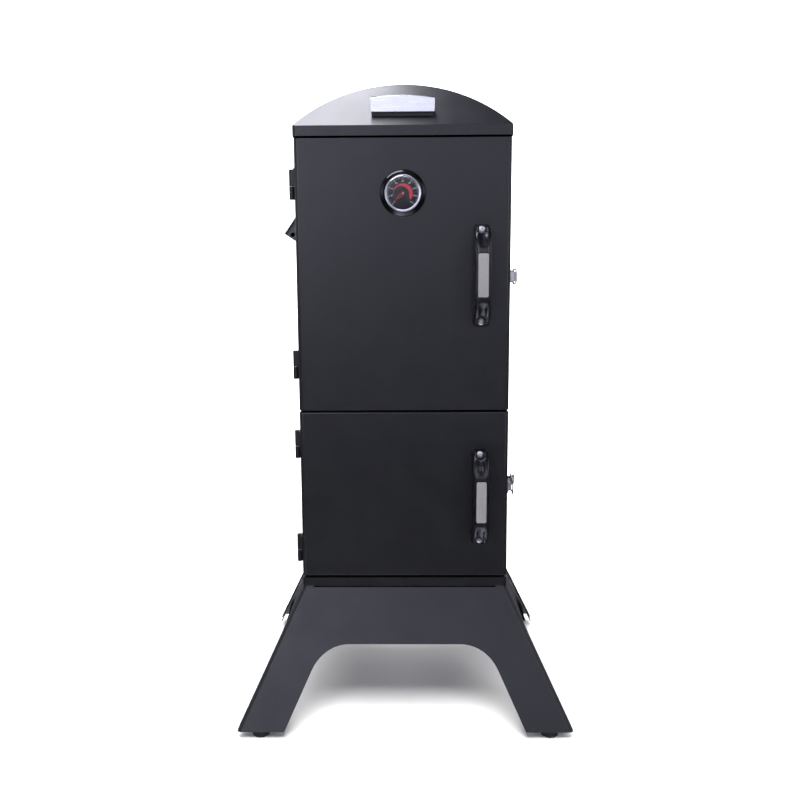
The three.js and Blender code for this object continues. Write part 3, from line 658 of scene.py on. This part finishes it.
def inlay(door):
    """Blank metal strip let into the front of the grip."""
    centre = HANDLES[door]
    bm = bmesh.new()
    depth = FRONT - FIT - INLAY_SEAT
    path = []
    half_x, half_z, radius = 6.8, 38, 3
    for side, end, start in ((1, 1, 0), (-1, 1, 90), (-1, -1, 180), (1, -1, 270)):
        for i in range(7):
            a = math.radians(start + 15 * i)
            path.append((HANDLE_X + side * half_x + radius * math.cos(a),
                         centre + end * half_z + radius * math.sin(a)))
    ring = [bm.verts.new((x * MM, depth * MM, z * MM)) for x, z in path]
    bm.faces.new(ring)
    thickness = 1.6
    thicken(bm, -thickness)
    face_y = (depth - thickness) * MM
    rim = [e for e in bm.edges if all(abs(v.co.y - face_y) < 1e-6 for v in e.verts)]
    bmesh.ops.bevel(bm, geom=rim, offset=0.5 * MM, segments=3, profile=0.5, affect="EDGES")
    finish_bmesh(bm, f"{door}_handle_inlay", f"{door}_door", INLAY, "silver_plate", 40)


def screw(name, centre, axis, body, radius=7.4, height=2.6, material=None):
    """Domed screw head with a round drive recess."""
    profile = [(0, 0), (radius, 0), (radius, height * 0.25)]
    for i in range(1, 7):
        a = math.radians(15 * i)
        profile.append((radius * math.cos(a) * 0.98 + 0.02, height * (0.25 + 0.75 * math.sin(a))))
    profile = [p for p in profile if p[0] > radius * 0.34 or p[1] == 0]
    drive = radius * 0.32
    profile += [(drive, height * 0.97), (drive * 0.94, height * 0.4), (0, height * 0.3)]
    lathe(name, profile, centre, axis, body, material or ZINC, "chrome_trim", 32)


for door in ("upper", "lower"):
    handle(door)
    inlay(door)
    for end in (-1, 1):
        spot = (HANDLE_X, FRONT - FIT - SCREW_SEAT, HANDLES[door] + end * SCREW_REACH)
        which = "top" if end > 0 else "bottom"
        screw(f"{door}_handle_screw_{which}", spot, (0, -1, 0), f"{door}_door")


# ---------------------------------------------------------------- thermometer
CENTRE = (0, 0, GAUGE_Z)
DIAL_Y = -198.0
START, SWEEP = 225.0, 270.0  # the scale runs clockwise from lower left to lower right
NEEDLE_CLOCK = 230.0


def gauge():
    body = "upper_door"
    bezel = lathe("gauge_bezel_ring", [
        (36.2, 193.3), (44.6, 193.3), (44.6, 193.9), (43.4, 195.4), (41.4, 197.2), (39.2, 198.9),
        (37.4, 199.9), (36.6, 200.2), (36.2, 199.9),
    ], (0, 0, GAUGE_Z + 1.0), (0, -1, 0), body, GLOSS, "black_hardware", 96)
    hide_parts("gauge_bezel")
    case = lathe("gauge_case_turned", [
        (0, 95), (3, 95), (4, 97), (4, 194), (35.6, 194), (35.6, 202.2), (35.3, 203.2),
        (34.7, 203.9), (34.0, 203.6), (33.6, 203.1), (33.2, 203.6), (32.9, 204.4), (32.2, 204.9),
        (31.4, 204.8), (30.8, 204.2), (30.4, 203.2), (30.2, 202.2), (30.2, 197), (0, 197),
    ], CENTRE, (0, -1, 0), body, CHROME, "chrome_trim", 96)
    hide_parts("gauge_case")
    face = lathe("gauge_face_disc", [(0, 197.3), (29.8, 197.3), (29.8, 198), (0, 198)],
                 CENTRE, (0, -1, 0), body, DIAL, "gauge_face", 64)
    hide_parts("gauge_dial")
    lathe("gauge_lens", [(0, 202.2), (29.9, 201.2), (29.9, 202.4), (26, 202.9), (20, 203.3),
                         (10, 203.7), (0, 203.8)], CENTRE, (0, -1, 0), body, GLASS, None, 64, 60)
    lathe("gauge_spindle", [(0, 197.9), (1.1, 197.9), (1.1, 200.4), (0, 200.6)],
          CENTRE, (0, -1, 0), body, ZINC, "chrome_trim", 20)


def on_dial(radius, clock, lift=0.1):
    """Point on the dial; clock is degrees clockwise from the top."""
    a = math.radians(clock)
    return Vector((radius * math.sin(a) * MM, (DIAL_Y - lift) * MM,
                   (GAUGE_Z + radius * math.cos(a)) * MM))


def ribbon(bm, outline, lift):
    """Flat printed shape with a small thickness from its outline on the dial."""
    front = [bm.verts.new(p) for p in outline]
    back = [bm.verts.new(p + Vector((0, lift * MM, 0))) for p in outline]
    bm.faces.new(front)
    bm.faces.new(list(reversed(back)))
    for i in range(len(front)):
        j = (i + 1) % len(front)
        bm.faces.new((front[i], front[j], back[j], back[i]))


def gauge_ticks():
    divisions, rim = 40, 29.2
    bm = bmesh.new()
    for i in range(divisions + 1):
        clock = START + SWEEP * i / divisions
        major = i % 5 == 0
        half = 0.42 if major else 0.2
        inner = 26.0 if major else 27.6
        da = math.degrees(half / 28)
        ribbon(bm, [on_dial(inner, clock - da), on_dial(rim, clock - da),
                    on_dial(rim, clock + da), on_dial(inner, clock + da)], 0.08)
    finish_bmesh(bm, "gauge_ticks", "upper_door", INK, "gauge_face", 30)


def gauge_red_arc():
    """Arc that starts thin on the left and swells over the top to the right."""
    radius, first, last, count = 18.8, 262, 490, 56
    bm = bmesh.new()
    outer, inner = [], []
    for i in range(count + 1):
        t = i / count
        clock = first + (last - first) * t
        width = 0.9 + 6.0 * smoothstep(0.05, 0.62, t) * (1 - smoothstep(0.88, 1.0, t) * 0.75)
        outer.append(bm.verts.new(on_dial(radius, clock, 0.12)))
        inner.append(bm.verts.new(on_dial(radius - width, clock, 0.12)))
    for i in range(count):
        bm.faces.new((outer[i], outer[i + 1], inner[i + 1], inner[i]))
    thicken(bm, 0.1)
    finish_bmesh(bm, "gauge_red_arc", "upper_door", RED, "needle_red", 30)


def gauge_numbers():
    steps, first, step, radius = 8, 50, 50, 23.0
    for i in range(steps + 1):
        clock = START + SWEEP * i / steps
        text = bpy.data.curves.new(f"gauge_number_{i}", "FONT")
        text.body = str(first + step * i)
        text.size = 3.9 * MM
        text.align_x = "CENTER"
        text.align_y = "CENTER"
        text.extrude = 0.04 * MM
        maker = bpy.data.objects.new(f"number_curve_{i}", text)
        bpy.context.scene.collection.objects.link(maker)
        maker.rotation_euler = (math.pi / 2, 0, 0)
        maker.location = on_dial(radius, clock, 0.1)
        bpy.context.view_layer.update()
        depsgraph = bpy.context.evaluated_depsgraph_get()
        mesh = bpy.data.meshes.new_from_object(maker.evaluated_get(depsgraph))
        mesh.transform(maker.matrix_world)
        bpy.data.objects.remove(maker)
        place(mesh, f"gauge_number_{i}", "upper_door", INK, "gauge_face", 30)


def on_needle(along, across):
    """Point on the needle, in mm from its axle and from its middle line."""
    point = on_dial(along, NEEDLE_CLOCK, 0.7)
    side = math.radians(NEEDLE_CLOCK + 90)
    return point + Vector((math.sin(side), 0, math.cos(side))) * across * MM


def needle():
    """Leaf-shaped blade, open in the middle, drawn out to a point."""
    bm = bmesh.new()
    outer = [(-3, 0.0), (-1, 1.5), (2.5, 2.5), (6, 2.9), (9, 2.5), (12, 1.5), (15, 0.7), (26, 0.3)]
    inner = [(0.5, 0.0), (1.5, 0.55), (3.5, 1.25), (6, 1.6), (8.2, 1.3), (10.2, 0.75),
             (11.6, 0.35), (12.4, 0.0)]
    for side in (1, -1):
        rows = []
        for (a, w), (c, v) in zip(outer, inner):
            edge = bm.verts.new(on_needle(a, side * w))
            hole = bm.verts.new(on_needle(c, side * v))
            rows.append((edge, hole))
        for (a, b), (c, d) in zip(rows, rows[1:]):
            bm.faces.new((a, c, d, b))
    tip = [bm.verts.new(on_needle(*p)) for p in ((12.4, 0.0), (26, 0.3), (26, -0.3))]
    bm.faces.new(tip)
    bmesh.ops.remove_doubles(bm, verts=bm.verts, dist=0.01 * MM)
    thicken(bm, 0.4)
    blade = finish_bmesh(bm, "needle_blade", "gauge_needle", RED, "needle_red", 30)
    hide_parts("gauge_needle")
    lathe("needle_hub", [(1.4, 198.4), (2.6, 198.4), (2.8, 199.2), (2.4, 200.1), (1.4, 200.2)],
          CENTRE, (0, -1, 0), "gauge_needle", RED, "needle_red", 32)


gauge()
gauge_ticks()
gauge_red_arc()
gauge_numbers()
needle()


# ---------------------------------------------------------------- small fasteners
def hinge_details(door, z):
    tag = f"{door}_{int(z)}"
    x, y = HINGE_AXIS
    lathe(f"hinge_washer_{tag}", [(2.7, 0), (5.0, 0), (5.0, 0.8), (2.7, 0.8)],
          (x, y, z - 4.1), (0, 0, 1), "cabinet", ZINC, "chrome_trim", 24)
    for i, lift in enumerate((8, 22)):
        screw(f"hinge_door_screw_{tag}_{i}", (-212.6, -176, z + lift), (-1, 0, 0),
              f"{door}_door", 2.8, 1.4, HARDWARE)
    for i, lift in enumerate((-22, -11)):
        screw(f"hinge_body_screw_{tag}_{i}", (-212.6, -146, z + lift), (-1, 0, 0),
              "cabinet", 2.8, 1.4, HARDWARE)


for door, heights in HINGES.items():
    for height in heights:
        hinge_details(door, height)
for door, height in LATCHES.items():
    for i, lift in enumerate((-8, 8)):
        screw(f"{door}_latch_rivet_{i}", (212.2, -99, height + lift), (1, 0, 0), "cabinet", 2.4, 1.3)


# ---------------------------------------------------------------- studio
def surround(world):
    """White to the camera. As light and in reflections it is bright straight down, dark below
    the horizon, brightest a little above it and dimmer overhead. It is dark at both sides, with
    a little light exactly sideways, and near white high up behind the object."""
    tree = world.node_tree
    tree.nodes.clear()

    def ramp(value, stops):
        made = tree.nodes.new("ShaderNodeValToRGB")
        while len(made.color_ramp.elements) < len(stops):
            made.color_ramp.elements.new(0.5)
        for element, (place_at, level) in zip(made.color_ramp.elements, stops):
            element.position = place_at
            element.color = (level, level, level, 1.0)
        tree.links.new(value, made.inputs["Fac"])
        return made.outputs["Color"]

    coord = tree.nodes.new("ShaderNodeTexCoord")
    parts = tree.nodes.new("ShaderNodeSeparateXYZ")
    tree.links.new(coord.outputs["Generated"], parts.inputs["Vector"])

    def half(output):
        made = tree.nodes.new("ShaderNodeMath")
        made.operation = "MULTIPLY_ADD"
        made.inputs[1].default_value = 0.5
        made.inputs[2].default_value = 0.5
        tree.links.new(output, made.inputs[0])
        return made.outputs["Value"]

    height = ramp(half(parts.outputs["Z"]), [
        (0.0, 1.5), (0.10, 1.2), (0.22, 0.03), (0.38, 0.02), (0.46, 0.10), (0.5, 0.30),
        (0.55, 0.72), (0.62, 1.15), (0.85, 0.2),
    ])
    sideways = ramp(half(parts.outputs["X"]), [
        (0.0, 0.55), (0.05, 0.40), (0.12, 0.01), (0.25, 0.05), (0.34, 0.95), (0.43, 1.15),
        (0.5, 0.76), (0.58, 0.50), (0.70, 0.42), (0.78, 0.02), (0.88, 0.01), (0.95, 0.40),
        (1.0, 0.55),
    ])
    front = tree.nodes.new("ShaderNodeMix")
    front.data_type = "RGBA"
    front.blend_type = "MULTIPLY"
    front.inputs["Factor"].default_value = 1.0
    tree.links.new(height, front.inputs[6])
    tree.links.new(sideways, front.inputs[7])
    tint = tree.nodes.new("ShaderNodeMix")
    tint.data_type = "RGBA"
    tint.blend_type = "MULTIPLY"
    tint.inputs["Factor"].default_value = 1.0
    tree.links.new(front.outputs[2], tint.inputs[6])
    tint.inputs[7].default_value = (1.66, 1.69, 2.1, 1.0)
    rear = ramp(half(parts.outputs["Y"]), [(0.82, 0.0), (0.92, 1.0)])
    raised = ramp(half(parts.outputs["Z"]), [(0.20, 0.06), (0.42, 0.12), (0.55, 1.0)])
    back = tree.nodes.new("ShaderNodeMath")
    back.operation = "MULTIPLY"
    tree.links.new(rear, back.inputs[0])
    tree.links.new(raised, back.inputs[1])
    both = tree.nodes.new("ShaderNodeMix")
    both.data_type = "RGBA"
    tree.links.new(back.outputs["Value"], both.inputs["Factor"])
    tree.links.new(tint.outputs[2], both.inputs[6])
    both.inputs[7].default_value = (1.05, 1.05, 1.05, 1.0)
    seen = tree.nodes.new("ShaderNodeMix")
    seen.data_type = "RGBA"
    seen.inputs[7].default_value = (1.0, 1.0, 1.0, 1.0)
    path = tree.nodes.new("ShaderNodeLightPath")
    tree.links.new(path.outputs["Is Camera Ray"], seen.inputs["Factor"])
    tree.links.new(both.outputs[2], seen.inputs[6])
    background = tree.nodes.new("ShaderNodeBackground")
    tree.links.new(seen.outputs[2], background.inputs["Color"])
    output = tree.nodes.new("ShaderNodeOutputWorld")
    tree.links.new(background.outputs["Background"], output.inputs["Surface"])


def softbox(name, centre, target, size, radiance, color=(1, 1, 1), only=None):
    """Rectangular lamp; with "only" it lights that collection and nothing else."""
    light = bpy.data.lights.new(name, "AREA")
    light.shape = "RECTANGLE"
    light.size, light.size_y = size
    light.energy = radiance * math.pi * size[0] * size[1]
    light.color = color
    lamp = bpy.data.objects.new(name, light)
    bpy.context.scene.collection.objects.link(lamp)
    lamp.location = centre
    aim = Vector(target) - Vector(centre)
    lamp.rotation_mode = "QUATERNION"
    lamp.rotation_quaternion = aim.to_track_quat("-Z", "Y")
    lamp.visible_camera = False
    if only:
        lamp.light_linking.receiver_collection = only


def sweep():
    """White paper sweep in metres, flat under the object and curving up behind it, with painted
    light: it glows more the farther it is from the object.
    """
    front, bend, radius, height, half_width, steps = -1.6, 1.8, 1.6, 7.0, 9, 16
    profile = [(front, 0.0), (bend, 0.0)]
    for i in range(1, steps + 1):
        a = math.pi / 2 * i / steps
        profile.append((bend + radius * math.sin(a), radius - radius * math.cos(a)))
    profile.append((bend + radius, height))
    bm = bmesh.new()
    rows = [[bm.verts.new((x, y, z)) for x in (-half_width, half_width)] for y, z in profile]
    for low, high in zip(rows, rows[1:]):
        bm.faces.new((low[0], low[1], high[1], high[0]))
    mesh = bpy.data.meshes.new("floor")
    bm.to_mesh(mesh)
    bm.free()
    for polygon in mesh.polygons:
        polygon.use_smooth = True
    floor = bpy.data.objects.new("floor", mesh)
    bpy.context.scene.collection.objects.link(floor)
    floor.visible_glossy = False
    pale = Shader("pale_floor", (0.46, 0.455, 0.45), 0.7)
    pale.roughness(pale.span(pale.noise(3), 0.65, 0.75))
    # Painted light: the floor glows, from none at 0.85 m from the origin under the object up to a
    # strength of 1.2 at 1.7 m and beyond.
    distance = pale.tree.nodes.new("ShaderNodeVectorMath")
    distance.operation = "LENGTH"
    pale.link(pale.coord, distance.inputs[0])
    floor_glow = pale.span(distance.outputs["Value"], 0.0, 1.2, (0.85, 1.7))
    pale.set("Emission Color", (1.0, 1.0, 1.0, 1.0))
    pale.link(floor_glow, pale.bsdf.inputs["Emission Strength"])
    mesh.materials.append(pale.mat)
    return floor


def studio():
    scene = bpy.context.scene
    scene.view_settings.view_transform = "Standard"
    world = bpy.data.worlds.new("studio")
    scene.world = world
    world.use_nodes = True
    surround(world)
    floor = sweep()
    cool = (0.91, 0.915, 1.0)
    softbox("top_box", (-0.39, 0.0, 1.95), (-0.37, 0.0, 1.2), (0.74, 0.75), 10.0, cool)
    softbox("left_strip", (-1.25, -2.6, 1.7), (-0.2, -0.2, 1.0), (0.28, 2.0), 7.5, cool)
    softbox("right_strip", (1.7, -2.4, 1.7), (0.2, -0.2, 1.0), (0.28, 2.0), 7.5, cool)
    ground = bpy.data.collections.new("ground")
    ground.objects.link(floor)
    softbox("front_box", (0.0, -1.95, 2.85), (0, 0, 0), (1.7, 1.2), 43.0, only=ground)
    softbox("back_box", (0.0, 0.9, 3.4), (0, 2.6, 0.4), (7.0, 1.2), 12.0, only=ground)
    softbox("sky_box", (0.0, 0.4, 4.2), (0, 0.4, 0), (7.0, 5.0), 1.6, only=ground)

    camera = bpy.data.cameras.new("camera")
    camera.sensor_width = 36.0
    camera.lens = 35.19
    eye = bpy.data.objects.new("camera", camera)
    scene.collection.objects.link(eye)
    eye.matrix_world = (
        Matrix.Translation((0.0105, -1.7395, 0.8785))
        @ Matrix.Rotation(math.radians(0.67), 4, "Z")
        @ Matrix.Rotation(math.radians(90 - 7.72), 4, "X")
        @ Matrix.Rotation(math.radians(-0.29), 4, "Z")
    )
    scene.camera = eye


studio()
